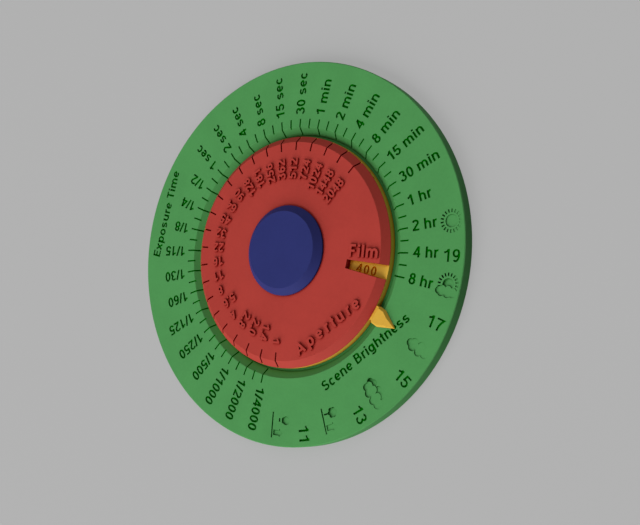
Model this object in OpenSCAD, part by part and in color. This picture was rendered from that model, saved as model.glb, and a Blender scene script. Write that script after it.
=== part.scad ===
// Pocket exposure calculator. A base plate carries a ring of shutter times and a hub.
// A film speed dial with a pointer turns on the hub in the plate's recess, and an aperture
// dial with a window turns on top of it. A screwed cap with a spring washer holds both.
// Lengths are in millimetres. The plate's underside is z = 0 and the hub's axis is Z.
// The 4 hour tick points along +X.

/* [Base plate] */
// Diameter of the plate
plate_d = 108; // [100:1:140]
// Thickness of the plate
plate_t = 4; // [3.8:0.1:6]
// Small bevel along both edges of the rim
plate_bevel = 0.2; // [0.1:0.05:0.5]
// Space between the film speed dial's edge and the foot of the recess's slope
recess_gap = 0.8; // [0.5:0.1:1.5]
// Width and height of the 45 degree slope round the recess
recess_slope = 2; // [1.2:0.1:2.2]

/* [Film speed dial] */
// Diameter of the film speed dial
film_d = 65; // [58:1:68]
// Thickness of the film speed dial
film_t = 2; // [1.6:0.1:2.4]
// Direction of the pointer as the calculator is shown, in degrees
pointer_angle = -29.2; // [-180:0.1:180]
// Reach of the pointer's tip past the slope's upper edge
pointer_reach = 5.3; // [5:0.1:6.7]
// How far inside the slope's upper edge the pointer's head starts
pointer_setback = 1.5; // [0.6:0.1:1.8]
// Width of the pointer's head along its underside
pointer_w = 5; // [4.6:0.1:6]
// Length of the nose, where the head's sides run together
pointer_nose = 4.9; // [4:0.1:5.4]
// Length of the slope that leads from the head's flat top down to the tip
pointer_slope = 3.2; // [2:0.1:4]
// Height of the head's flat top above the plate's face
pointer_h = 1.1; // [0.8:0.1:1.8]
// Height of the slope's lower end above the head's underside
pointer_tip_h = 0.2; // [0.1:0.05:0.3]
// Angle by which the head's sides lean inwards from upright
pointer_lean = 29; // [10:1:35]
// Space under the head, above the plate
pointer_lift = 0.15; // [0.1:0.05:0.3]
// Width of the arm that carries the head
arm_w = 4.2; // [3:0.1:4.2]
// How far inside the dial's edge the arm starts
arm_inset = 4; // [2:0.5:8]
// Height of the arm's underside above the dial's underside
arm_step = 0.3; // [0.2:0.05:0.6]
// How far the arm's top lies below the dial's top
arm_drop = 0.1; // [0.05:0.05:0.4]

/* [Aperture dial] */
// How far the aperture dial's edge lies inside the film speed dial's edge
aperture_inset = 0; // [0:0.1:1.5]
// Thickness of the aperture dial
aperture_t = 2; // [1.6:0.1:3]
// Height of the upright edge under the dial's 45 degree chamfer
aperture_land = 0.1; // [0.1:0.05:0.5]
// Direction of the window as the calculator is shown, in degrees
window_angle = -9.4; // [-180:0.1:180]
// Angle that the window spans
window_span = 6.8; // [4:0.1:9]
// Length of the window, from the dial's edge inwards
window_l = 12.1; // [6:0.1:16]

/* [Scales] */
// Angle from one whole stop to the next, on every ring
stop_angle = 10; // [8:0.5:10]
// Number of whole stops from the longest to the shortest shutter time
shutter_stops = 28; // [10:1:28]
// Number of whole stops on the aperture ring
aperture_stops = 23; // [8:1:26]
// Angle from the window to the largest aperture's tick
aperture_start = -82; // [-120:1:-60]
// Width of a tick's groove
tick_w = 0.45; // [0.3:0.05:0.8]
// Depth of a tick's groove
tick_depth = 0.4; // [0.2:0.05:0.6]
// Length of the shutter ticks on the plate's face, from the slope's upper edge
shutter_tick_l = 2.4; // [1.2:0.1:4.5]
// Length of the aperture ticks on the dial's face, from the chamfer's inner edge
aperture_tick_l = 2.3; // [1.2:0.1:6]

/* [Hub and cap] */
// Diameter of the plate's hub, on which the dials turn
hub_d = 12; // [10.5:0.5:14]
// Radial running clearance between the hub and a dial
hub_fit = 0.05; // [0.02:0.01:0.1]
// Space between two faces that turn on each other
face_gap = 0.05; // [0.02:0.01:0.1]
// Diameter of the cap
cap_d = 25.2; // [22:0.2:32]
// Diameter of the cap's flat top
cap_top_d = 21.5; // [18:0.5:22]
// Thickness of the cap's head
cap_t = 2.4; // [2.2:0.1:4]
// Height of the upright edge under the cap's bevel
cap_land = 0.5; // [0.3:0.1:1]
// Space between the aperture dial and the cap
cap_gap = 0.15; // [0.1:0.05:0.3]
// Diameter of the cap's spigot
spigot_d = 8; // [7.4:0.1:8.5]
// Distance across the spigot's two flats
spigot_flats = 6.6; // [6:0.1:7]
// Length of the spigot
spigot_l = 3.3; // [3:0.1:3.6]
// Space round the spigot in the hub's socket
spigot_gap = 0.05; // [0.03:0.01:0.1]

/* [Washers] */
// Thickness of the slip washer under the film speed dial
slip_t = 0.2; // [0.1:0.05:0.4]
// Outer diameter of the slip washer
slip_d = 24; // [18:1:40]
// Outer diameter of the spring washer
spring_d = 19; // [17:0.5:20]
// Thickness of the spring washer's sheet
spring_t = 0.3; // [0.2:0.05:0.4]
// Space between the spring washer's bore and the hub
spring_play = 0.4; // [0.2:0.1:0.8]
// Depth of the spring washer's pocket under the cap
pocket_depth = 0.8; // [0.6:0.1:1]
// Space between the spring washer's rim and the pocket's wall
pocket_play = 0.4; // [0.2:0.1:0.8]

/* [Screw and insert] */
// Diameter of the screw's shank
screw_d = 3; // [2.5:0.5:3]
// Diameter of the screw's countersunk head
head_d = 6; // [5:0.1:6.4]
// Length of the screw
screw_l = 5.6; // [5:0.1:5.8]
// Distance across the flats of the screw's hexagon socket
hex_w = 2; // [1.5:0.5:2]
// Depth of the hexagon socket
hex_depth = 1.1; // [0.8:0.1:1.3]
// Outer diameter of the threaded insert
insert_d = 4.2; // [4:0.1:4.6]
// Length of the threaded insert
insert_l = 3; // [2.4:0.1:3]
// Space round the screw and the insert
screw_gap = 0.05; // [0.03:0.01:0.15]

/* [Hidden] */
$fn = 128;
// Overrun of a cut past the face that it leaves
over = 1;

// Heights, stacked from the plate's face down to the recess's floor and up to the cap
film_z = plate_t - film_t;
floor_z = film_z - face_gap - slip_t;
aperture_z = plate_t + face_gap;
aperture_top = aperture_z + aperture_t;
cap_z = aperture_top + cap_gap;
cap_top = cap_z + cap_t;
spigot_z = cap_z - spigot_l;
socket_z = spigot_z - spigot_gap;
pocket_z = cap_z + pocket_depth;
slope_z = plate_t - recess_slope;

// Heights above the film speed dial's underside. Its top is level with the plate's face.
pointer_z = film_t + pointer_lift;
pointer_top = film_t + pointer_h;

// Radii
hub_r = hub_d / 2;
dial_bore_r = hub_r + hub_fit;
recess_r = film_d / 2 + recess_gap;
recess_mouth_r = recess_r + recess_slope;
aperture_r = film_d / 2 - aperture_inset;
aperture_slope = aperture_t - aperture_land;
aperture_flat_r = aperture_r - aperture_slope;
aperture_tick_r = aperture_flat_r - aperture_tick_l;
window_r = aperture_r - window_l;
shutter_tick_r = recess_mouth_r + shutter_tick_l;
screw_r = screw_d / 2;
head_r = head_d / 2;
spring_bore_r = hub_r + spring_play;
arm_start_r = film_d / 2 - arm_inset;
pointer_r = recess_mouth_r + pointer_reach;
pointer_root_r = recess_mouth_r - pointer_setback;
head_h = head_r - screw_r;
// Depth of a tick's groove, measured level across a 45 degree slope
slope_dip = tick_depth * sqrt(2);

// Direction of a shutter time's tick, from stop 0 for 8 hours
function shutter_angle(stop) = (stop - 1) * stop_angle;
// Direction of an aperture's tick, from stop 0 for the largest aperture
function aperture_angle(stop) = window_angle + aperture_start - stop * stop_angle;

// A ring between two radii, from z0 up to z1
module ring(r_in, r_out, z0, z1) {
    translate([0, 0, z0]) difference() {
        cylinder(r = r_out, h = z1 - z0);
        translate([0, 0, -over]) cylinder(r = r_in, h = z1 - z0 + 2 * over);
    }
}

// A straight bar from the axis outwards along one direction
module spoke(angle, r_in, r_out, w, z0, z1) {
    rotate([0, 0, angle]) translate([r_in, -w / 2, z0]) cube([r_out - r_in, w, z1 - z0]);
}

// A round bar with two flats across Y
module double_flat(d, flats, z0, z1) {
    intersection() {
        translate([0, 0, z0]) cylinder(d = d, h = z1 - z0);
        translate([-d, -flats / 2, z0 - over]) cube([2 * d, flats, z1 - z0 + 2 * over]);
    }
}

// The plate and its hub, as turned, before the ticks are cut
module plate_blank() {
    plate_r = plate_d / 2;
    rotate_extrude() polygon([
        [0, 0],
        [plate_r - plate_bevel, 0],
        [plate_r, plate_bevel],
        [plate_r, plate_t - plate_bevel],
        [plate_r - plate_bevel, plate_t],
        [recess_mouth_r, plate_t],
        [recess_r, slope_z],
        [recess_r, floor_z],
        [hub_r, floor_z],
        [hub_r, cap_z],
        [0, cap_z]
    ]);
}

// The layer that a long tick's groove takes away from the plate's slope and face
module slope_layer() {
    rotate_extrude() polygon([
        [recess_r - over, plate_t + over],
        [recess_r - over, slope_z - over],
        [recess_r - over + slope_dip, slope_z - over],
        [recess_mouth_r + slope_dip - tick_depth, plate_t - tick_depth],
        [shutter_tick_r + over, plate_t - tick_depth],
        [shutter_tick_r + over, plate_t + over]
    ]);
}

module base_plate() {
    color([0.31, 0.565, 0.32]) difference() {
        plate_blank();
        for (stop = [0 : shutter_stops - 1]) {
            intersection() {
                slope_layer();
                spoke(shutter_angle(stop), recess_r - over, shutter_tick_r, tick_w, slope_z, plate_t + 2 * over);
            }
        }
        for (stop = [0 : shutter_stops - 2])
            spoke(shutter_angle(stop + 0.5), recess_r, shutter_tick_r, tick_w, plate_t - tick_depth, plate_t + over);
        double_flat(spigot_d + 2 * spigot_gap, spigot_flats + 2 * spigot_gap, socket_z, cap_z + over);
        translate([0, 0, -over]) cylinder(r = screw_r + screw_gap, h = cap_z);
        translate([0, 0, -screw_gap])
            cylinder(r1 = head_r + 2 * screw_gap, r2 = screw_r + 2 * screw_gap, h = head_h);
    }
}

module slip_washer() {
    color([0.93, 0.93, 0.9]) ring(hub_r + hub_fit, slip_d / 2, floor_z, floor_z + slip_t);
}

// The arm of the pointer, which follows the slope out of the recess and ends inside the head
module pointer_arm() {
    foot_r = recess_mouth_r - pointer_lift * sqrt(2);
    rotate([90, 0, 0]) linear_extrude(arm_w, center = true) polygon([
        [arm_start_r, arm_step],
        [foot_r - (film_t - arm_step), arm_step],
        [foot_r + pointer_lift, pointer_z],
        [foot_r + pointer_lift, pointer_z + pointer_tip_h],
        [pointer_root_r, pointer_z + pointer_tip_h],
        [pointer_root_r, film_t - arm_drop],
        [arm_start_r, film_t - arm_drop]
    ]);
}

// The head of the pointer seen from the side: a flat top and a slope down to the tip
module head_side() {
    rotate([90, 0, 0]) linear_extrude(pointer_w + 2 * over, center = true) polygon([
        [pointer_root_r, pointer_z],
        [pointer_r + over, pointer_z],
        [pointer_r + over, pointer_z + pointer_tip_h],
        [pointer_r, pointer_z + pointer_tip_h],
        [pointer_r - pointer_slope, pointer_top],
        [pointer_root_r, pointer_top]
    ]);
}

// A large block on one side of the X axis, whose face along the axis leans inwards
module leaning_block() {
    lean = (pointer_top - pointer_z) * tan(pointer_lean);
    rotate([90, 0, 90]) linear_extrude(2 * pointer_r, center = true) polygon([
        [0, pointer_z],
        [pointer_r, pointer_z],
        [pointer_r, pointer_top],
        [lean, pointer_top]
    ]);
}

// What lies inside the head's two leaning sides below the centre line
module lower_sides() {
    nose_angle = atan(pointer_w / 2 / pointer_nose);
    intersection() {
        translate([0, -pointer_w / 2, 0]) leaning_block();
        translate([pointer_r, 0, 0]) rotate([0, 0, nose_angle]) leaning_block();
    }
}

module pointer_head() {
    intersection() {
        head_side();
        lower_sides();
        mirror([0, 1, 0]) lower_sides();
    }
}

module film_speed_dial() {
    color([0.85, 0.66, 0.25]) translate([0, 0, film_z]) difference() {
        union() {
            cylinder(d = film_d, h = film_t);
            rotate([0, 0, pointer_angle]) {
                pointer_arm();
                pointer_head();
            }
        }
        translate([0, 0, -over]) cylinder(r = dial_bore_r, h = film_t + 2 * over);
    }
}

// The aperture dial's disc with its chamfered edge
module aperture_blank() {
    rotate_extrude() polygon([
        [dial_bore_r, aperture_z],
        [aperture_r, aperture_z],
        [aperture_r, aperture_z + aperture_land],
        [aperture_flat_r, aperture_top],
        [dial_bore_r, aperture_top]
    ]);
}

// The layer that a tick's groove takes away from the aperture dial's chamfer and face
module chamfer_layer() {
    rotate_extrude() polygon([
        [aperture_r + over, aperture_top + over],
        [aperture_tick_r - over, aperture_top + over],
        [aperture_tick_r - over, aperture_top - tick_depth],
        [aperture_flat_r - slope_dip + tick_depth, aperture_top - tick_depth],
        [aperture_r + over - slope_dip, aperture_z + aperture_land - over],
        [aperture_r + over, aperture_z + aperture_land - over]
    ]);
}

// A wedge between two directions, outside the window's inner end
module window() {
    rotate([0, 0, window_angle - window_span / 2])
        rotate_extrude(angle = window_span)
            translate([window_r, aperture_z - over]) square([aperture_r, aperture_t + 2 * over]);
}

module aperture_dial() {
    color([0.65, 0.24, 0.21]) difference() {
        aperture_blank();
        window();
        for (stop = [0 : aperture_stops - 1]) {
            intersection() {
                chamfer_layer();
                spoke(aperture_angle(stop), aperture_tick_r, aperture_r + 2 * over, tick_w,
                      aperture_z - over, aperture_top + 2 * over);
            }
        }
    }
}

// A conical spring washer, pressed between the aperture dial and the cap
module friction_spring() {
    low_z = aperture_top + face_gap;
    high_z = pocket_z - face_gap;
    color([0.7, 0.71, 0.73]) rotate_extrude() polygon([
        [spring_d / 2, low_z],
        [spring_d / 2, low_z + spring_t],
        [spring_bore_r, high_z],
        [spring_bore_r, high_z - spring_t]
    ]);
}

module centre_cap() {
    color([0.19, 0.2, 0.42]) difference() {
        union() {
            rotate_extrude() polygon([
                [0, cap_z],
                [cap_d / 2, cap_z],
                [cap_d / 2, cap_z + cap_land],
                [cap_top_d / 2, cap_top],
                [0, cap_top]
            ]);
            double_flat(spigot_d, spigot_flats, spigot_z, cap_z + cap_land);
        }
        ring(hub_r + face_gap, spring_d / 2 + pocket_play, cap_z - over, pocket_z);
        translate([0, 0, spigot_z - over]) cylinder(r = screw_r + screw_gap, h = spigot_l + over + cap_land);
        translate([0, 0, spigot_z - over]) cylinder(d = insert_d + 2 * screw_gap, h = insert_l + over);
    }
}

module threaded_insert() {
    color([0.8, 0.64, 0.3]) ring(screw_r + screw_gap, insert_d / 2, spigot_z, spigot_z + insert_l);
}

module pivot_screw() {
    color([0.72, 0.72, 0.74]) difference() {
        rotate_extrude() polygon([
            [0, 0],
            [head_r, 0],
            [screw_r, head_h],
            [screw_r, screw_l],
            [0, screw_l]
        ]);
        translate([0, 0, -over]) cylinder(r = hex_w / sqrt(3), h = hex_depth + over, $fn = 6);
    }
}

base_plate();
slip_washer();
film_speed_dial();
aperture_dial();
friction_spring();
centre_cap();
threaded_insert();
pivot_screw();
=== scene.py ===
import math

import bmesh
import bpy
from mathutils import Matrix, Vector
from mathutils.geometry import delaunay_2d_cdt


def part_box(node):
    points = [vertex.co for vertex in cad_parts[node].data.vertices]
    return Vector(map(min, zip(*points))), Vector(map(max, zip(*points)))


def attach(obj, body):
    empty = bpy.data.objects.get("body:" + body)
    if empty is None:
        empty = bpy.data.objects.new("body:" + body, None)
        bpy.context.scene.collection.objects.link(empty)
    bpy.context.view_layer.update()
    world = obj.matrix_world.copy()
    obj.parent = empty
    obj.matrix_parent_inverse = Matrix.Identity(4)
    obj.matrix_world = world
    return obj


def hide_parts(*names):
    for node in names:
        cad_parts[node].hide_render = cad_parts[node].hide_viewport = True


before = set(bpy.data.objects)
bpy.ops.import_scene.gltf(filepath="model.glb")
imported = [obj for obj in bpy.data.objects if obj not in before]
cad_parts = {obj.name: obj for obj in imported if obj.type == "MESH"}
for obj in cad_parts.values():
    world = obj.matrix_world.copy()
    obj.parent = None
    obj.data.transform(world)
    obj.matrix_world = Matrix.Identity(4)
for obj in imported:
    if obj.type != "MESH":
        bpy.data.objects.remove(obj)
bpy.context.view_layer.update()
MM = 0.001

# Sizes that the scene shares with the part, in millimetres. What the nodes' boxes show is
# taken from the frame.
PLATE_R = round(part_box("base_plate")[1][0] / MM, 3)
APERTURE_LOW, APERTURE_TOP = (round(corner[2] / MM, 3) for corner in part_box("aperture_dial"))
FACE_Z = 4
FILM_TOP = 4
FILM_R = 32.5
DIAL_CHAMFER = 1.9
RECESS_GAP = 0.8
RECESS_SLOPE = 2
TICK_LENGTH = 2.4
RECESS_Z = FACE_Z - RECESS_SLOPE
RECESS_R = FILM_R + RECESS_GAP
MOUTH_R = RECESS_R + RECESS_SLOPE
TICKS_END_R = MOUTH_R + TICK_LENGTH
APERTURE_FLAT_R = FILM_R - DIAL_CHAMFER

# Directions on the scales, in degrees: from one stop to the next, of the pointer, and of the
# first shutter time and the first aperture
STOP_ANGLE = 10
POINTER_ANGLE = -29.2
TIMES_START = -10
APERTURES_START = 268.6

# Strokes: how wide the upright ones are, as a share of a capital's height, and how much of
# that width those that run across have
STEM_SHARE = 0.215
LIGHT_STEM_SHARE = 0.18
ACROSS_SHARE = 0.84

# Lettering and pictures, in millimetres: their depths, heights and line width, and how far a
# block reaches past the surface that it works on. Slopes are rises per length.
ENGRAVED = 0.6
SPEED_ENGRAVED = 0.4
RAISED = 0.6
SHALLOW_DEPTH = 0.42
DEEP_DEPTH = 1
SHALLOW_SLOPE = 0.065
DEEP_SLOPE = 0.14
PICTURE_LINE = 0.42
SPARE = 0.4
PICTURE_SPARE = 2

# The angle that one straight piece of an arc spans, and the angle from which an edge is sharp
ARC_STEP = 15
SHARP_ANGLE = math.radians(30)

# How near points are joined, in flat shapes in their own units and in meshes in metres
JOIN_FLAT = 1e-3
JOIN_MESH = 1e-7

# The face attribute that marks where a dark colour is painted into grooves as their shade
PAINTED_GROOVE_SHADE = "painted_groove_shade"
BODIES = {"base_plate": "base", "film_speed_dial": "film_dial", "aperture_dial": "aperture"}


# Lines of points, and the flat polygons made from them

def arc(x, y, rx, ry, start, end):
    """Points of an elliptical arc, with its angles in degrees and turning from start to end."""
    count = max(2, round(abs(end - start) / ARC_STEP))
    angles = (math.radians(start + (end - start) * i / count) for i in range(count + 1))
    return [(x + rx * math.cos(a), y + ry * math.sin(a)) for a in angles]


def ribbon(points, width):
    """Quads along a line of points, with mitred corners and square ends."""
    line = [Vector(p) for p in points]
    steps = [(b - a).normalized() for a, b in zip(line, line[1:])]
    closed = (line[0] - line[-1]).length < JOIN_FLAT
    before = [steps[-1] if closed else steps[0]] + steps
    after = steps + [steps[0] if closed else steps[-1]]
    sides = []
    for point, one, two in zip(line, before, after):
        across = Vector((-one.y - two.y, one.x + two.x))
        offset = across * width / max(across.length_squared, 1)
        sides.append((point - offset, point + offset))
    return [[a[0], b[0], b[1], a[1]] for a, b in zip(sides, sides[1:])]


def merged(polygons, holes=()):
    """One flat mesh for polygons that may overlap, without what lies in the holes. Gives its
    points, triangles and outer edges."""
    points, faces = [], []
    for polygon in [*polygons, *holes]:
        faces.append(list(range(len(points), len(points) + len(polygon))))
        points += [Vector(p) for p in polygon]
    points, _, triangles, _, _, sources = delaunay_2d_cdt(points, [], faces, 0, JOIN_FLAT)
    triangles = [t for t, source in zip(triangles, sources)
                 if source and max(source) < len(polygons)]
    edges = [(t[i], t[(i + 1) % len(t)]) for t in triangles for i in range(len(t))]
    known = set(edges)
    return points, triangles, [(a, b) for a, b in edges if (b, a) not in known]


# Characters as centre lines of strokes, in a frame where a capital is 1 high. Each has its
# advance and its strokes.
SMALL = 0.725


def ring(x, rx, start=0, end=360):
    """The round part of a small letter, or a piece of it."""
    return arc(x, 0.364, rx, 0.296, start, end)


def hook(x, rx):
    """The curve from a stem over to the right foot of n and its like."""
    return arc(x, 0.42, rx, 0.24, 180, 0) + [(x + rx, 0)]


STEM = [(0.187, 0), (0.187, SMALL)]
GLYPHS = {
    " ": (0.388, []),
    ".": (0.388, [[(0.194, 0), (0.194, 0.19)]]),
    "/": (0.44, [[(0.07, -0.01), (0.37, 1.01)]]),
    "0": (0.777, [arc(0.388, 0.5, 0.237, 0.432, 0, 360)]),
    "1": (0.777, [[(0.49, 0), (0.49, 1)], [(0.46, 0.93), (0.35, 0.8), (0.12, 0.71)]]),
    "2": (0.777, [arc(0.37, 0.72, 0.25, 0.212, 165, -35) + [(0.17, 0.13), (0.16, 0.09)],
                  [(0.045, 0.08), (0.72, 0.08)]]),
    "3": (0.777, [arc(0.36, 0.74, 0.215, 0.192, 160, -90),
                  arc(0.37, 0.308, 0.255, 0.24, 90, -165)]),
    "4": (0.777, [[(0.54, 0), (0.54, 1)], [(0.49, 0.93), (0.11, 0.31), (0.73, 0.31)]]),
    "5": (0.777, [[(0.68, 0.92), (0.24, 0.92), (0.16, 0.47)],
                  arc(0.37, 0.325, 0.25, 0.25, 140, -165)]),
    "6": (0.777, [arc(0.395, 0.322, 0.232, 0.25, 0, 360),
                  arc(0.43, 0.47, 0.275, 0.462, 195, 55)]),
    "7": (0.777, [[(0.06, 0.92), (0.67, 0.92), (0.5, 0.68), (0.38, 0.38), (0.33, 0)]]),
    "8": (0.777, [arc(0.388, 0.74, 0.2, 0.192, 0, 360), arc(0.388, 0.308, 0.24, 0.24, 0, 360)]),
    "9": (0.777, [arc(0.38, 0.678, 0.232, 0.25, 0, 360),
                  arc(0.345, 0.53, 0.275, 0.462, 15, -125)]),
    "c": (0.777, [ring(0.39, 0.24, 42, 318)]),
    "e": (0.777, [ring(0.388, 0.24, 0, 318), [(0.15, 0.364), (0.628, 0.364)]]),
    "g": (0.853, [ring(0.39, 0.24),
                  [(0.663, SMALL), (0.663, 0)] + arc(0.41, -0.02, 0.253, 0.17, 0, -150)]),
    "h": (0.853, [[(0.187, 0), (0.187, 1)], hook(0.4265, 0.24)]),
    "i": (0.388, [[(0.194, 0), (0.194, SMALL)], [(0.194, 0.83), (0.194, 1)]]),
    "l": (0.388, [[(0.194, 0), (0.194, 1)]]),
    "m": (1.242, [STEM, hook(0.404, 0.217), hook(0.8405, 0.2195)]),
    "n": (0.853, [STEM, hook(0.4265, 0.24)]),
    "o": (0.853, [ring(0.427, 0.265)]),
    "p": (0.853, [[(0.187, -0.27), (0.187, SMALL)], ring(0.46, 0.24)]),
    "r": (0.543, [STEM, arc(0.43, 0.42, 0.243, 0.24, 180, 75)]),
    "s": (0.777, [arc(0.37, 0.514, 0.205, 0.146, 25, 270), arc(0.37, 0.218, 0.23, 0.15, 90, -155)]),
    "t": (0.465, [[(0.235, 0.93)] + arc(0.365, 0.2, 0.13, 0.14, 180, 275),
                  [(0.03, 0.645), (0.42, 0.645)]]),
    "u": (0.853, [[(0.187, SMALL)] + arc(0.4265, 0.305, 0.24, 0.237, 180, 360),
                  [(0.666, SMALL), (0.666, 0)]]),
    "x": (0.777, [[(0.1, 0), (0.67, SMALL)], [(0.1, SMALL), (0.67, 0)]]),
    "A": (0.9, [[(0.08, 0), (0.42, 0.93)], [(0.48, 0.93), (0.82, 0)], [(0.2, 0.3), (0.7, 0.3)]]),
    "B": (0.9, [[(0.19, 0), (0.19, 1)],
                [(0.19, 0.92)] + arc(0.5, 0.73, 0.17, 0.19, 90, -90) + [(0.19, 0.54)],
                [(0.19, 0.54)] + arc(0.51, 0.31, 0.22, 0.23, 90, -90) + [(0.19, 0.08)]]),
    "E": (0.82, [[(0.19, 0), (0.19, 1)], [(0.1, 0.92), (0.74, 0.92)],
                 [(0.1, 0.52), (0.68, 0.52)], [(0.1, 0.08), (0.77, 0.08)]]),
    "F": (0.78, [[(0.19, 0), (0.19, 1)], [(0.1, 0.92), (0.71, 0.92)], [(0.1, 0.49), (0.62, 0.49)]]),
    "S": (0.88, [arc(0.43, 0.72, 0.25, 0.2, 25, 270), arc(0.43, 0.3, 0.28, 0.22, 90, -155)]),
    "T": (0.8, [[(0.4, 0), (0.4, 1)], [(0.06, 0.92), (0.74, 0.92)]]),
}


def drawn(width):
    """The characters' flat meshes with strokes of one width, which are thinner where they run
    across. For that they are drawn taller and then pressed down."""
    shapes = {}
    for letter, (_, strokes) in GLYPHS.items():
        lines = [[(x, y / ACROSS_SHARE) for x, y in stroke] for stroke in strokes]
        quads = [quad for line in lines for quad in ribbon(line, width)]
        if quads:
            shapes[letter] = merged([[(x, y * ACROSS_SHARE) for x, y in quad] for quad in quads])
    return shapes


NORMAL = drawn(STEM_SHARE)
LIGHT = drawn(LIGHT_STEM_SHARE)


class Block:
    """A solid made of upright prisms, in millimetres, for cutting or raising lettering."""

    def __init__(self):
        self.points, self.faces = [], []

    def prism(self, shape, place, low, high, slope=0.0):
        """Adds a flat shape, set in its place by a function of its points. Its underside may
        slope up along the x axis, from the shape's left end."""
        points, triangles, edges = shape
        first = len(self.points)
        flat = [place(p) for p in points]
        left = min(x for x, _ in flat)
        self.points += [(x, y, low + slope * (x - left)) for x, y in flat]
        self.points += [(x, y, high) for x, y in flat]
        top = first + len(flat)
        self.faces += [[first + i for i in reversed(t)] for t in triangles]
        self.faces += [[top + i for i in t] for t in triangles]
        self.faces += [[first + a, first + b, top + b, top + a] for a, b in edges]

    def text(self, words, size, origin, angle, low, high, share=0.0, spread=1.0, shapes=NORMAL):
        """Adds words in one of the sets of characters, on a line that starts at an origin and
        runs at an angle in degrees. share moves them back by that part of their length, and
        spread spaces them out."""
        along = Vector((math.cos(math.radians(angle)), math.sin(math.radians(angle))))
        up = Vector((-along.y, along.x))
        pens, pen = [], 0
        for letter in words:
            pens.append(pen)
            pen += GLYPHS[letter][0] * spread
        first = min(p[0] for p in shapes[words[0]][0])
        last = pens[-1] + max(p[0] for p in shapes[words[-1]][0])
        start = first + (last - first) * share
        for letter, left in zip(words, pens):
            if letter in shapes:
                def place(p):
                    return Vector(origin) + ((left - start + p[0]) * along + p[1] * up) * size
                self.prism(shapes[letter], place, low, high)

    def spoke_text(self, words, size, radius, angle, low, high, rise=0.0, **options):
        """Adds words that read outwards along a spoke from a radius. They are centred across
        the spoke, or stand higher by a rise."""
        a = math.radians(angle)
        drop = size / 2 - rise
        x = radius * math.cos(a) + drop * math.sin(a)
        y = radius * math.sin(a) - drop * math.cos(a)
        self.text(words, size, (x, y), angle, low, high, **options)

    def to_object(self, name, groove_painted_dark):
        """The block as an object of closed mesh, in metres. What it cuts can be marked for a dark
        colour painted in as groove shade.
        """
        mesh = bpy.data.meshes.new(name)
        mesh.from_pydata([[c * MM for c in p] for p in self.points], [], self.faces)
        marks = mesh.attributes.new(PAINTED_GROOVE_SHADE, "FLOAT", "FACE")
        marks.data.foreach_set("value", [groove_painted_dark] * len(self.faces))
        new = bpy.data.objects.new(name, mesh)
        bpy.context.scene.collection.objects.link(new)
        return new


def weld(mesh):
    """Joins points that lie in the same place."""
    work = bmesh.new()
    work.from_mesh(mesh)
    bmesh.ops.remove_doubles(work, verts=work.verts, dist=JOIN_MESH)
    work.to_mesh(mesh)
    work.free()


def reworked(name, node, steps):
    """A new object with a node's mesh, changed by steps, which stands for the node on the same
    body. A step is a Boolean operation, its block, and 1 where what it cuts gets a dark colour
    painted in as groove shade, or else 0."""
    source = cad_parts[node].data
    mesh = bpy.data.meshes.new(name)
    mesh.from_pydata([v.co for v in source.vertices], [], [p.vertices for p in source.polygons])
    weld(mesh)
    mesh.attributes.new(PAINTED_GROOVE_SHADE, "FLOAT", "FACE")
    new = bpy.data.objects.new(name, mesh)
    bpy.context.scene.collection.objects.link(new)
    tools = []
    for operation, block, groove_painted_dark in steps:
        modifier = new.modifiers.new(operation, "BOOLEAN")
        modifier.operation = operation
        modifier.solver = "MANIFOLD"
        modifier.object = block.to_object(name + "_tool", groove_painted_dark)
        tools.append(modifier.object)
    graph = bpy.context.evaluated_depsgraph_get()
    result = bpy.data.meshes.new_from_object(new.evaluated_get(graph))
    new.modifiers.clear()
    new.data = result
    for tool in tools:
        bpy.data.objects.remove(tool)
    weld(result)
    result.shade_smooth()
    result.set_sharp_from_angle(angle=SHARP_ANGLE)
    result.materials.clear()
    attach(new, BODIES[node])
    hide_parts(node)
    return new


# Weather pictures, as pockets near the rim. Each is drawn beside a spoke, where x is the
# distance from the axis along the spoke and y the distance across it.
RAY_START = 0.5
RAY_END = 1.4
GROUND_ENDS = (44.7, 51.7)
HOLE_SHARE = 0.99


def disc(x, y, rx, ry):
    """An oval about a point."""
    return arc(x, y, rx, ry, 0, 360)[:-1]


def bar(x1, y1, x2, y2):
    """A straight line from one point to another."""
    return ribbon([(x1, y1), (x2, y2)], PICTURE_LINE)[0]


def box(x1, y1, x2, y2):
    """A rectangle between two opposite corners."""
    return [(x1, y1), (x2, y1), (x2, y2), (x1, y2)]


def sun(x, y, radius, count):
    """A disc with rays all round it."""
    shapes = [disc(x, y, radius, radius)]
    for i in range(count):
        a = 2 * math.pi * i / count
        near, far = radius + RAY_START, radius + RAY_END
        shapes.append(bar(x + near * math.cos(a), y + near * math.sin(a),
                          x + far * math.cos(a), y + far * math.sin(a)))
    return shapes


def cloud(x, y, rx, ry, puff, count):
    """An oval with round puffs all along its edge."""
    shapes = [disc(x, y, rx, ry)]
    for i in range(count):
        a = 2 * math.pi * (i + 0.5) / count
        shapes.append(disc(x + rx * math.cos(a), y + ry * math.sin(a), puff, puff))
    return shapes


def ground(y):
    """A line on which a house and its neighbour stand."""
    return [bar(GROUND_ENDS[0], y, GROUND_ENDS[1], y)]


def house(x, foot):
    """A wall with a pitched roof over it."""
    eaves = foot + 2
    return [box(x, foot, x + 1.5, eaves),
            [(x - 0.4, eaves), (x + 1.9, eaves), (x + 0.75, foot + 3.1)]]


def tree(x, foot):
    """A crown on a trunk."""
    return cloud(x, foot + 2.7, 0.9, 0.9, 0.6, 6) + [bar(x, foot + 1.5, x, foot)]


def lamp(x, foot):
    """A bulb with its neck, over its cap."""
    neck, shoulder = foot + 2.6, foot + 3.4
    return [disc(x, foot + 4, 1.2, 1.2), box(x - 0.5, foot + 1.6, x + 0.5, foot + 2.1),
            [(x - 0.6, neck), (x + 0.6, neck), (x + 1, shoulder), (x - 1, shoulder)]]


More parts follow.
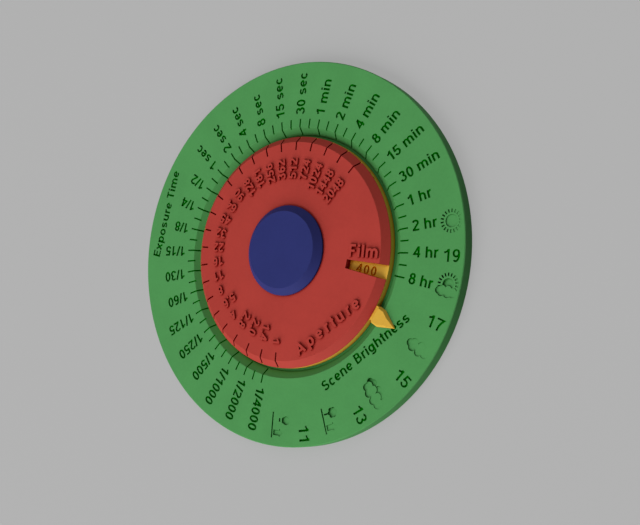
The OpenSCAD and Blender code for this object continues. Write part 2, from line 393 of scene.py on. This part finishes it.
def smaller(polygon):
    """A polygon a little smaller about its middle, so that pockets side by side overlap."""
    middle = sum((Vector(p) for p in polygon), Vector((0, 0))) / len(polygon)
    return [middle + (Vector(p) - middle) * HOLE_SHARE for p in polygon]


# For each spoke's angle, the shallow pocket in front and the deeper one that shows behind it
PICTURES = {
    10: (sun(50.3, -0.4, 1.7, 18), []),
    -10: (cloud(50.2, -1, 2.1, 0.6, 1, 7), sun(50.4, 0.9, 1.6, 18)),
    -30: (cloud(48.9, 0.1, 2.6, 0.9, 1.1, 7), []),
    -50: (cloud(48, -1, 3, 0.9, 1.1, 8), cloud(47.2, 0.4, 2.6, 0.8, 1, 7)),
    -70: (ground(-1.1) + house(49.4, -0.6), tree(46.5, -0.6)),
    -90: (ground(-1.5) + house(49.5, -1), lamp(46.7, -1)),
}


def picture_blocks():
    """The cutters for all shallow and for all deep pockets."""
    shallow, deep = Block(), Block()
    top = FACE_Z + PICTURE_SPARE
    for spoke, (front, behind) in PICTURES.items():
        a = math.radians(spoke)
        along, across = Vector((math.cos(a), math.sin(a))), Vector((-math.sin(a), math.cos(a)))

        def on_spoke(p):
            return p[0] * along + p[1] * across
        shallow.prism(merged(front), on_spoke, FACE_Z - SHALLOW_DEPTH, top, SHALLOW_SLOPE)
        if behind:
            holes = [smaller(polygon) for polygon in front]
            deep.prism(merged(behind, holes), on_spoke, FACE_Z - DEEP_DEPTH, top, DEEP_SLOPE)
    return shallow, deep


# Base plate: shutter times round the recess, light values near the rim, each at its angle,
# and legends, each with its size, start, direction in degrees and how far it's spread out
TIMES = ["8 hr", "4 hr", "2 hr", "1 hr", "30 min", "15 min", "8 min", "4 min", "2 min", "1 min",
         "30 sec", "15 sec", "8 sec", "4 sec", "2 sec", "1 sec"]
TIMES += ["1/" + str(n) for n in (2, 4, 8, 15, 30, 60, 125, 250, 500, 1000, 2000, 4000)]
TIMES_R = 39
TIMES_SIZE = 2.9
TIMES_RISE = 0.27
LIGHT_VALUES = {19: -0.6, 17: -20.7, 15: -40, 13: -58.2, 11: -79.4}
LIGHT_VALUES_R = 50.35
LIGHT_VALUES_SIZE = 3.3
PLATE_LEGENDS = {
    "Exposure Time": (2.75, (-49.1, -2.2), 79, 1.0),
    "Scene Brightness": (2.75, (15.2, -37.7), 39.7, 1.01),
}


def engraved_plate():
    """The base plate with its engraved lettering, which gets painted groove shade, and its
    pictures.
    """
    cut = (FACE_Z - ENGRAVED, FACE_Z + SPARE)
    lettering = Block()
    for stop, label in enumerate(TIMES):
        angle = TIMES_START + stop * STOP_ANGLE
        lettering.spoke_text(label, TIMES_SIZE, TIMES_R, angle, *cut, rise=TIMES_RISE)
    for value, angle in LIGHT_VALUES.items():
        lettering.spoke_text(str(value), LIGHT_VALUES_SIZE, LIGHT_VALUES_R, angle, *cut,
                             share=0.5, shapes=LIGHT)
    for words, (size, origin, angle, spread) in PLATE_LEGENDS.items():
        lettering.text(words, size, origin, angle, *cut, spread=spread)
    shallow, deep = picture_blocks()
    return reworked("base_plate_engraved", "base_plate",
                    [("DIFFERENCE", lettering, 1), ("DIFFERENCE", shallow, 0),
                     ("DIFFERENCE", deep, 0)])


# Film speed dial: speeds, one stop apart. The window shows one, two stops from the pointer.
SPEEDS = (12, 25, 50, 100, 200, 400, 800, 1600, 3200, 6400, 12800)
SHOWN_SPEED = SPEEDS.index(400)
SHOWN_ANGLE = POINTER_ANGLE + 2 * STOP_ANGLE
SPEED_SIZE = 2.5
SPEED_R = 22.45
SPEED_SPREAD = 1.17
SPEED_RISE = -0.5


def engraved_film_dial():
    """The film speed dial with its engraved speeds, which get painted groove shade."""
    cut = (FILM_TOP - SPEED_ENGRAVED, FILM_TOP + SPARE)
    lettering = Block()
    for stop, speed in enumerate(SPEEDS):
        angle = SHOWN_ANGLE + (stop - SHOWN_SPEED) * STOP_ANGLE
        lettering.spoke_text(str(speed), SPEED_SIZE, SPEED_R, angle, *cut, spread=SPEED_SPREAD,
                             rise=SPEED_RISE)
    return reworked("film_speed_dial_engraved", "film_speed_dial",
                    [("DIFFERENCE", lettering, 1)])


# Aperture dial: raised numbers, one for each tick, which end beside it, and two legends
APERTURES = ["1", "1.4", "2.0", "2.8", "4", "5.6", "8", "11", "16", "22", "32", "45", "64", "90",
             "128", "181", "256", "362", "512", "724", "1024", "1448", "2048"]
APERTURE_SIZE = 2.55
APERTURE_TEXT_R = 25.85
APERTURE_RISE = -0.08
APERTURE_LEGENDS = {
    "Film": (3.35, (21.1, -1.5), -1.5, 1.02),
    "Aperture": (3.3, (7.3, -28.9), 37.6, 1.3),
}


def lettered_aperture_dial():
    """The aperture dial with its raised numbers and legends."""
    lift = (APERTURE_TOP - SPARE, APERTURE_TOP + RAISED)
    lettering = Block()
    for stop, number in enumerate(APERTURES):
        angle = APERTURES_START - stop * STOP_ANGLE
        lettering.spoke_text(number, APERTURE_SIZE, APERTURE_TEXT_R, angle, *lift, share=1,
                             rise=APERTURE_RISE)
    for words, (size, origin, angle, spread) in APERTURE_LEGENDS.items():
        lettering.text(words, size, origin, angle, *lift, spread=spread)
    return reworked("aperture_dial_lettered", "aperture_dial",
                    [("UNION", lettering, 0)])


# Materials. Lengths and depths are in millimetres, and shades are shares of a colour.

def linear(r, g, b):
    """A colour of 0 to 255 as shown on a screen, in linear light."""
    return [((c / 255 + 0.055) / 1.055) ** 2.4 if c > 10 else c / 255 / 12.92 for c in (r, g, b)]


class Graph:
    """A material's nodes, with short calls to add them and join them up."""

    def __init__(self, name, **settings):
        self.material = bpy.data.materials.new(name)
        self.material.use_nodes = True
        self.tree = self.material.node_tree
        self.shader = self.tree.nodes["Principled BSDF"]
        for key, value in settings.items():
            self.shader.inputs[key].default_value = value
        self.coordinates = self.node("TexCoord").outputs["Object"]

    def put(self, value, socket):
        """Sets a socket to a number, or joins another node's output to it."""
        if isinstance(value, bpy.types.NodeSocket):
            self.tree.links.new(value, socket)
        else:
            socket.default_value = value

    def node(self, kind, inputs=(), **settings):
        """A new node of a kind, with its inputs' numbers or links and its settings."""
        new = self.tree.nodes.new("ShaderNode" + kind)
        for key, value in settings.items():
            setattr(new, key, value)
        for key, value in dict(inputs).items():
            self.put(value, new.inputs[key])
        return new

    def maths(self, operation, *values):
        """The result of an operation on values."""
        return self.node("Math", enumerate(values), operation=operation).outputs[0]

    def product(self, first, *others):
        """The product of shares, which is 1 where all of them are."""
        for other in others:
            first = self.maths("MULTIPLY", first, other)
        return first

    def step(self, value, low, high, at_low=0.0, at_high=1.0):
        """A smooth step from one value to another as a value goes from low to high."""
        inputs = {"Value": value, "From Min": low, "From Max": high,
                  "To Min": at_low, "To Max": at_high}
        return self.node("MapRange", inputs, interpolation_type="SMOOTHSTEP").outputs[0]

    def noise(self, length, detail=2.0):
        """Noise whose features are about as long as given."""
        inputs = {"Vector": self.coordinates, "Scale": 1 / (length * MM), "Detail": detail}
        return self.node("TexNoise", inputs).outputs["Fac"]

    def mix(self, share, one, two, blend="MIX"):
        """A colour blended with a share of another."""
        inputs = {"Fac": share, "Color1": one, "Color2": two}
        return self.node("MixRGB", inputs, blend_type=blend).outputs[0]

    def grey(self, value):
        """A colour with one value in all its channels."""
        return self.node("CombineColor", enumerate([value] * 3)).outputs[0]

    def radius_and_height(self):
        """Distance from the axis and height above the plate's underside, in millimetres."""
        parts = self.node("SeparateXYZ", {0: self.coordinates}).outputs
        square = self.maths("ADD", self.maths("POWER", parts[0], 2.0),
                            self.maths("POWER", parts[1], 2.0))
        radius = self.maths("DIVIDE", self.maths("SQRT", square), MM)
        return radius, self.maths("DIVIDE", parts[2], MM)

    def bump(self, height, distance, strength, normal=None):
        """The surface's normal over a height map whose full height is a distance."""
        inputs = {"Height": height, "Distance": distance * MM, "Strength": strength}
        if normal:
            inputs["Normal"] = normal
        return self.node("Bump", inputs).outputs[0]

    def edges(self, radius):
        """1 along the edges of the solid, where a rounded normal leans off the true one, and 0
        away from them."""
        near = self.node("Bevel", {"Radius": radius * MM}, samples=4).outputs[0]
        true = self.node("NewGeometry").outputs["Normal"]
        same = self.node("VectorMath", enumerate((near, true)), operation="DOT_PRODUCT")
        return self.step(same.outputs["Value"], *EDGE_COSINES)


# Moulded plastic: lengths of its features, what they do to shade, depth and roughness, and the
# painted shade in its corners
MOTTLE_LENGTH = 9
MOTTLE_SHADES = (0.965, 1.025)
SPECK_LENGTH = 0.8
SPECK_SHADES = (-0.02, 0.02)
EDGE_WIDTH = 0.2
EDGE_COSINES = (0.97, 0.8)
WEAR_LENGTH = 3
WEAR = (0.02, 0.16)
PALE_GAIN = 1.25
PALE_LIFT = 0.01
# The painted corner shade: the gain of its colour over the colour squared, and the openness over
# which it fades in
PAINTED_SHADE_GAIN = 1.2
CORNER_RANGE = (0.25, 0.95)
GLOSS = 0.06
GRAIN_LENGTH = 0.3
GRAIN_DEPTH = 0.012
GRAIN_ROUGHNESS = (0.5, 0.66)
SKIN_LENGTH = 2.2
SKIN_DEPTH = 0.03


def moulded(name, colour, reach=2.0, local=False, painted_groove_shade=None, ticks=None, painted_recess_shade=None):
    """Matte moulded plastic: a fine spark-eroded grain, a slight mottle and worn edges, and
    painted shade in corners, a darker colour with less gloss, which spreads by a reach and, if
    local, comes from the piece itself alone. ink, if given, is a dark colour painted as shade on
    what is marked and on what ticks(graph) gives, without gloss. grime(graph) says how much
    painted corner shade a place gets."""
    # The colour of painted shade, as light that has met the plastic twice, and the pale colour of
    # worn edges
    deep = (*[PAINTED_SHADE_GAIN * c * c for c in colour], 1)
    pale = (*[min(1, c * PALE_GAIN + PALE_LIFT) for c in colour], 1)
    g = Graph(name)
    tone = g.maths("ADD", g.step(g.noise(MOTTLE_LENGTH), 0.3, 0.7, *MOTTLE_SHADES),
                   g.step(g.noise(SPECK_LENGTH), 0.25, 0.75, *SPECK_SHADES))
    shade = g.mix(1, (*colour, 1), g.grey(tone), "MULTIPLY")
    worn = g.maths("MULTIPLY", g.edges(EDGE_WIDTH),
                   g.step(g.noise(WEAR_LENGTH, 4), 0.35, 0.7, *WEAR))
    shade = g.mix(worn, shade, pale)
    # Painted shade: darker towards that colour, with less gloss, in corners and near other pieces
    open_sky = g.node("AmbientOcclusion", {"Distance": reach * MM}, samples=8,
                      only_local=local).outputs["AO"]
    open_sky = g.step(open_sky, *CORNER_RANGE)
    gloss = g.maths("MULTIPLY", open_sky, GLOSS)
    shade = g.mix(open_sky, deep, shade)
    # Painted shade on the recess's slope and floor, towards the same darker colour
    if painted_recess_shade:
        shade = g.mix(painted_recess_shade(g), shade, deep)
    # Painted shade in grooves: a dark colour on marked faces and on ticks, without gloss
    if painted_groove_shade:
        groove_painted_dark = g.node("Attribute", attribute_name=PAINTED_GROOVE_SHADE).outputs["Fac"]
        if ticks:
            groove_painted_dark = g.maths("MAXIMUM", groove_painted_dark, ticks(g))
        shade = g.mix(groove_painted_dark, shade, (*painted_groove_shade, 1))
        gloss = g.maths("MULTIPLY", gloss, g.maths("SUBTRACT", 1.0, groove_painted_dark))
    g.put(shade, g.shader.inputs["Base Color"])
    g.put(gloss, g.shader.inputs["Specular IOR Level"])
    grain = g.noise(GRAIN_LENGTH, 3)
    g.put(g.step(grain, 0.3, 0.7, *GRAIN_ROUGHNESS), g.shader.inputs["Roughness"])
    skin = g.bump(g.noise(SKIN_LENGTH, 1), SKIN_DEPTH, 0.5)
    g.put(g.bump(grain, GRAIN_DEPTH, 0.8, skin), g.shader.inputs["Normal"])
    return g.material


# Bright metal: its turning marks and stains
MARK_WIDTH = 0.12
MARK_DEPTH = 0.01
SMOOTHEST = -0.08
ROUGHEST = 0.12
STAIN_LENGTH = 1.5
STAIN_SHADES = (0.8, 1.05)


def turned(name, colour, roughness):
    """Bright metal with fine turning marks round the axis."""
    g = Graph(name, Metallic=1.0)
    lines = g.node("CombineXYZ", enumerate((*g.radius_and_height(), 0.0))).outputs[0]
    marks = g.node("TexNoise", {"Vector": lines, "Scale": 1 / MARK_WIDTH,
                                "Detail": 3.0}).outputs["Fac"]
    stain = g.step(g.noise(STAIN_LENGTH, 3), 0.3, 0.75, *STAIN_SHADES)
    g.put(g.mix(1, (*colour, 1), g.grey(stain), "MULTIPLY"), g.shader.inputs["Base Color"])
    g.put(g.step(marks, 0.3, 0.7, roughness + SMOOTHEST, roughness + ROUGHEST),
          g.shader.inputs["Roughness"])
    g.put(g.bump(marks, MARK_DEPTH, 0.7), g.shader.inputs["Normal"])
    return g.material


# Heights between which painted shade sets in on the plate, in its grooves and its recess, so
# that its underside stays clear of it, and distances from the axis between which painted groove
# shade sets in on the aperture dial, short of its ticks
PLATE_SIDE = (1, 1.2)
DIAL_MIDDLE = (27, 28)

# How much painted corner shade the slope and the floor of the plate's recess get
SLOPE_PAINTED_SHADE = 0.15
FLOOR_PAINTED_SHADE = 0.3


def plate_ink(g):
    """Where shade is painted into the plate's ticks: below the level of face and slope."""
    radius, height = g.radius_and_height()
    slope = g.maths("MAXIMUM", g.maths("SUBTRACT", MOUTH_R, radius), 0.0)
    depth = g.maths("SUBTRACT", g.maths("SUBTRACT", FACE_Z, slope), height)
    return g.product(g.step(radius, RECESS_R + 0.1, RECESS_R + 0.3),
                     g.step(radius, TICKS_END_R + 0.2, TICKS_END_R + 0.1),
                     g.step(depth, 0.1, 0.22), g.step(height, *PLATE_SIDE))


def plate_grime(g):
    """Where shade is painted on the plate: a little on the recess's slope and more on its floor."""
    radius, height = g.radius_and_height()
    slope = g.step(height, FACE_Z - 0.05, FACE_Z - 0.15, 0, SLOPE_PAINTED_SHADE)
    floor = g.step(height, RECESS_Z + 0.2, RECESS_Z + 0.05, 0, FLOOR_PAINTED_SHADE)
    return g.product(g.maths("ADD", slope, floor), g.step(radius, MOUTH_R, MOUTH_R - 0.1),
                     g.step(height, *PLATE_SIDE))


def aperture_ink(g):
    """Where shade is painted into the aperture dial's ticks: below the level of face and chamfer,
    but not on the underside."""
    radius, height = g.radius_and_height()
    slope = g.maths("MAXIMUM", g.maths("SUBTRACT", radius, APERTURE_FLAT_R), 0.0)
    depth = g.maths("SUBTRACT", g.maths("SUBTRACT", APERTURE_TOP, slope), height)
    return g.product(g.step(radius, FILM_R - 0.05, FILM_R - 0.15),
                     g.step(radius, *DIAL_MIDDLE), g.step(depth, 0.08, 0.2),
                     g.step(height, APERTURE_LOW + 0.02, APERTURE_LOW + 0.06))


# Each plastic's colour; the dark colour given for the engraved pieces is painted groove shade
MATERIALS = {
    "base_plate": moulded("green_plastic", linear(79, 148, 83), reach=1.6, local=True,
                          painted_groove_shade=linear(0, 120, 0), ticks=plate_ink, painted_recess_shade=plate_grime),
    "film_speed_dial": moulded("yellow_plastic", linear(220, 171, 64), reach=1.3,
                               painted_groove_shade=linear(200, 108, 0)),
    "aperture_dial": moulded("red_plastic", linear(174, 62, 54), reach=2.6,
                             painted_groove_shade=linear(110, 0, 0), ticks=aperture_ink),
    "centre_cap": moulded("blue_plastic", linear(45, 51, 109)),
    "slip_washer": moulded("natural_plastic", linear(236, 236, 230)),
    "friction_spring": turned("spring_steel", linear(186, 187, 190), 0.3),
    "threaded_insert": turned("brass", linear(205, 170, 100), 0.28),
    "pivot_screw": turned("screw_steel", linear(190, 190, 194), 0.3),
}
PIECES = {"base_plate": engraved_plate(), "film_speed_dial": engraved_film_dial(),
          "aperture_dial": lettered_aperture_dial()}
for node, material in MATERIALS.items():
    piece = PIECES.get(node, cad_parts[node])
    piece.data.materials.clear()
    piece.data.materials.append(material)

# Camera, fitted to the rims of the plate and dials: its tilt from upright, turn round the
# axis and roll in degrees, its distance and shift as shares of the plate's radius, and its
# lens and sensor in millimetres
TILT, TURN, ROLL = (math.radians(a) for a in (34.695, -8.308, 4.319))
DISTANCE = 5.3936
SHIFT_X = -0.15382
SHIFT_Y = 0.0573
LENS = 58.637
SENSOR = 36


def make_camera():
    """The camera at the photograph's viewing angle."""
    back = Vector((math.sin(TILT) * math.cos(TURN), math.sin(TILT) * math.sin(TURN),
                   math.cos(TILT)))
    side = Vector((0, 1, 0)).cross(back).normalized()
    top = back.cross(side)
    right = math.cos(ROLL) * side + math.sin(ROLL) * top
    up = -math.sin(ROLL) * side + math.cos(ROLL) * top
    offset = DISTANCE * back - SHIFT_X * right - SHIFT_Y * up
    eye = (offset * PLATE_R + Vector((0, 0, FACE_Z))) * MM
    data = bpy.data.cameras.new("camera")
    data.lens = LENS
    data.sensor_width = SENSOR
    camera = bpy.data.objects.new("camera", data)
    bpy.context.scene.collection.objects.link(camera)
    camera.matrix_world = Matrix((
        (right.x, up.x, back.x, eye.x), (right.y, up.y, back.y, eye.y),
        (right.z, up.z, back.z, eye.z), (0, 0, 0, 1)))
    bpy.context.scene.camera = camera


# Lamps, with azimuth and elevation in degrees, size in metres and power in watts, how far
# away they are, and the strength of the light from all around
LAMPS = {"key": (-107, 36, 2.2, 55), "fill": (80, 60, 1.8, 12)}
LAMP_DISTANCE = 2
AMBIENT = 0.12


def make_lamp(name, azimuth, elevation, size, power):
    """A square lamp in a direction from the object, aimed at it."""
    data = bpy.data.lights.new(name, "AREA")
    data.size = size
    data.energy = power
    new = bpy.data.objects.new(name, data)
    bpy.context.scene.collection.objects.link(new)
    a, e = math.radians(azimuth), math.radians(elevation)
    towards = Vector((math.cos(a) * math.cos(e), math.sin(a) * math.cos(e), math.sin(e)))
    new.location = towards * LAMP_DISTANCE
    new.rotation_mode = "QUATERNION"
    new.rotation_quaternion = towards.to_track_quat("Z", "Y")
    new.visible_camera = False


# The backdrop's grey, and the floor: half its width in metres, and as shares of that grey
# what it scatters and gives off where it's seen, and what it casts on the object
BACKDROP = linear(178, 178, 178)
FLOOR_HALF = 3
FLOOR_LIT = 0.3
FLOOR_GLOW = 0.72
FLOOR_BOUNCE = 0.3


def seen_directly(tree):
    """A value of 1 for rays from the camera, from gloss and through glass, and 0 for others."""
    path = tree.nodes.new("ShaderNodeLightPath")
    total = path.outputs["Is Camera Ray"]
    for kind in ("Is Glossy Ray", "Is Transmission Ray"):
        add = tree.nodes.new("ShaderNodeMath")
        add.operation = "ADD"
        add.use_clamp = True
        tree.links.new(total, add.inputs[0])
        tree.links.new(path.outputs[kind], add.inputs[1])
        total = add.outputs[0]
    return total


def show(tree, seen, unseen, output):
    """Ends a node tree with one shader for what is seen directly and another for the rest."""
    mix = tree.nodes.new("ShaderNodeMixShader")
    tree.links.new(seen_directly(tree), mix.inputs[0])
    tree.links.new(unseen.outputs[0], mix.inputs[1])
    tree.links.new(seen.outputs[0], mix.inputs[2])
    tree.links.new(mix.outputs[0], tree.nodes[output].inputs["Surface"])


def make_world():
    """White light from all around, and the backdrop's grey for what is seen directly."""
    world = bpy.data.worlds.new("world")
    bpy.context.scene.world = world
    world.use_nodes = True
    nodes = world.node_tree.nodes
    light = nodes["Background"]
    light.inputs["Color"].default_value = (1, 1, 1, 1)
    light.inputs["Strength"].default_value = AMBIENT
    backdrop = nodes.new("ShaderNodeBackground")
    backdrop.inputs["Color"].default_value = (*BACKDROP, 1)
    show(world.node_tree, backdrop, light, "World Output")


def floor_shader(nodes, kind, share):
    """A shader of a share of the backdrop's grey."""
    new = nodes.new(kind)
    new.inputs["Color"].default_value = (*[c * share for c in BACKDROP], 1)
    return new


def make_floor():
    """A plain floor, which takes shadows and isn't part of the object."""
    mesh = bpy.data.meshes.new("floor")
    corners = [(-1, -1), (1, -1), (1, 1), (-1, 1)]
    mesh.from_pydata([(x * FLOOR_HALF, y * FLOOR_HALF, 0) for x, y in corners], [],
                     [(0, 1, 2, 3)])
    floor = bpy.data.objects.new("floor", mesh)
    bpy.context.scene.collection.objects.link(floor)
    material = bpy.data.materials.new("floor")
    material.use_nodes = True
    nodes, links = material.node_tree.nodes, material.node_tree.links
    lit = floor_shader(nodes, "ShaderNodeBsdfDiffuse", FLOOR_LIT)
    glow = floor_shader(nodes, "ShaderNodeEmission", FLOOR_GLOW)
    both = nodes.new("ShaderNodeAddShader")
    links.new(lit.outputs[0], both.inputs[0])
    links.new(glow.outputs[0], both.inputs[1])
    bounce = floor_shader(nodes, "ShaderNodeBsdfDiffuse", FLOOR_BOUNCE)
    show(material.node_tree, both, bounce, "Material Output")
    mesh.materials.append(material)


make_camera()
for name, values in LAMPS.items():
    make_lamp(name, *values)
make_world()
make_floor()

bpy.context.scene.view_settings.view_transform = "Standard"
